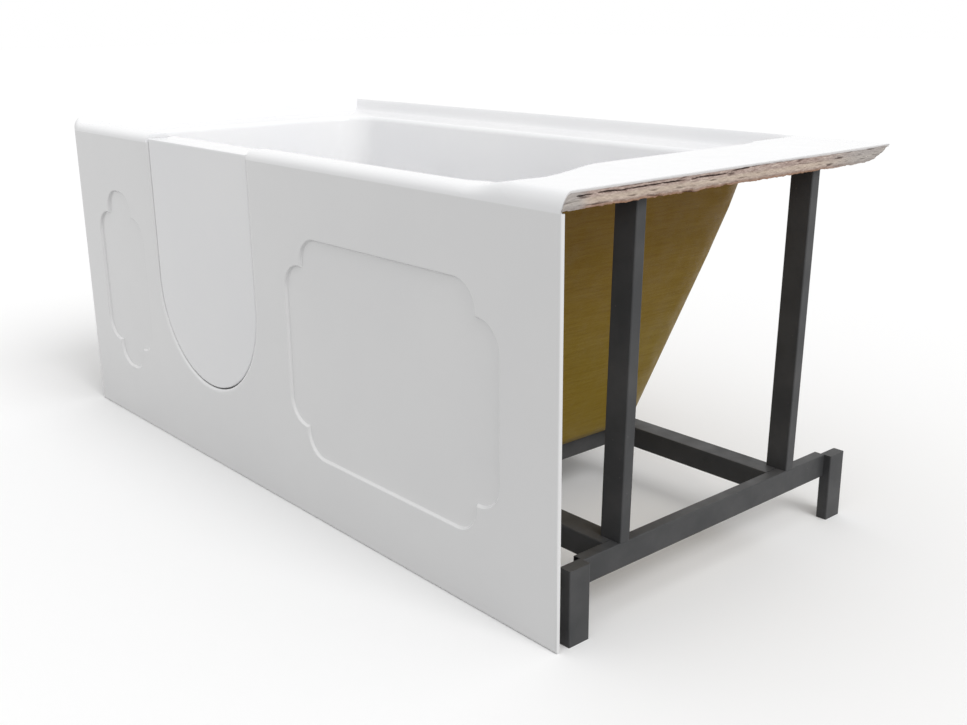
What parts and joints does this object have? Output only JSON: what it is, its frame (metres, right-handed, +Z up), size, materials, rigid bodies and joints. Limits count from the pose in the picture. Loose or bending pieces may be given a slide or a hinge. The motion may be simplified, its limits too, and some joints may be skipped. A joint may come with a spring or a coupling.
{
  "type": "bathtub",
  "caption": "Step-in alcove bathtub with a panelled front skirt, an inward door with a latch, a pop-up waste and a dark steel tube frame.",
  "frame": {"origin": "bottom centre of the tub, on the floor", "axes": "+X along the tub towards the raised head end, +Y from the skirt towards the wall, +Z up"},
  "size_m": [1.5, 0.75, 0.64],
  "materials": {
    "white_acrylic": "glossy white formed acrylic",
    "glass_fibre": "olive brown resin with a coarse fibre grain",
    "raw_board": "raw fibrous cut edge",
    "rigid_foam": "fine closed foam",
    "seal_rubber": "soft pale rubber",
    "bright_steel": "fine brushed stainless",
    "chrome": "polished chrome plate",
    "grey_plastic": "satin grey moulded plastic",
    "black_sheath": "smooth black sheath",
    "dark_paint": "dark grey semi-gloss paint"
  },
  "bodies": {
    "tub": {"door_frame": "white_acrylic", "drain_body": "grey_plastic", "drain_flange": "chrome", "drain_gasket": "seal_rubber", "drain_washer": "seal_rubber", "end_board": "raw_board", "foot_crossbar": "dark_paint", "front_rail": "dark_paint", "front_skirt": "white_acrylic", "head_crossbar": "dark_paint", "keeper_screws": "bright_steel", "latch_keeper": "bright_steel", "left_board": "raw_board", "left_bracket_screw": "bright_steel", "left_end_crossbar": "dark_paint", "left_front_leg": "dark_paint", "left_front_post": "dark_paint", "left_rear_leg": "dark_paint", "left_rear_post": "dark_paint", "left_skirt_batten": "raw_board", "left_skirt_bracket": "bright_steel", "lower_hinge_pin": "bright_steel", "lower_wall_leaf": "bright_steel", "overflow_body": "grey_plastic", "overflow_pipe": "grey_plastic", "overflow_plate": "chrome", "overflow_seal": "seal_rubber", "rear_rail": "dark_paint", "right_bracket_screw": "bright_steel", "right_end_crossbar": "dark_paint", "right_front_leg": "dark_paint", "right_front_post": "dark_paint", "right_rear_leg": "dark_paint", "right_rear_post": "dark_paint", "right_skirt_batten": "raw_board", "right_skirt_bracket": "bright_steel", "tub_backing": "glass_fibre", "tub_liner": "white_acrylic", "upper_hinge_pin": "bright_steel", "upper_wall_leaf": "bright_steel", "wall_leaf_screws": "bright_steel", "waste_cable": "black_sheath"},
    "door": {"door_outer_panel": "white_acrylic", "door_core": "rigid_foam", "door_inner_panel": "white_acrylic", "door_seal": "seal_rubber", "upper_door_leaf": "bright_steel", "lower_door_leaf": "bright_steel", "door_leaf_screws": "bright_steel", "latch_plate": "bright_steel", "latch_plate_screws": "bright_steel"},
    "latch": {"latch_lever": "chrome", "latch_tongue": "bright_steel", "latch_cap_screw": "bright_steel"},
    "plug": {"drain_plug": "chrome", "plug_seal": "seal_rubber"},
    "overflow_knob": {"overflow_knob": "chrome"}
  },
  "joints": [
    {"name": "door_hinge", "type": "hinge", "parent": "tub", "child": "door", "pos_m": [-0.418, -0.308, 0.475], "axis": [0, 0, 1], "range_deg": [0, 95]},
    {"name": "latch_turn", "type": "hinge", "parent": "door", "child": "latch", "pos_m": [-0.045, -0.3, 0.5], "axis": [0, 1, 0], "range_deg": [0, 90]},
    {"name": "overflow_turn", "type": "hinge", "parent": "tub", "child": "overflow_knob", "pos_m": [-0.61618, -0.02, 0.52], "axis": [0.9991, 0, 0.0415], "range_deg": [0, 90]},
    {"name": "plug_lift", "type": "slide", "parent": "tub", "child": "plug", "axis": [0, 0, 1], "range_m": [0, 0.0101]}
  ],
  "couplings": [
    {"joint": "plug_lift", "follows": "overflow_turn", "m_per_rad": 0.0063662}
  ]
}
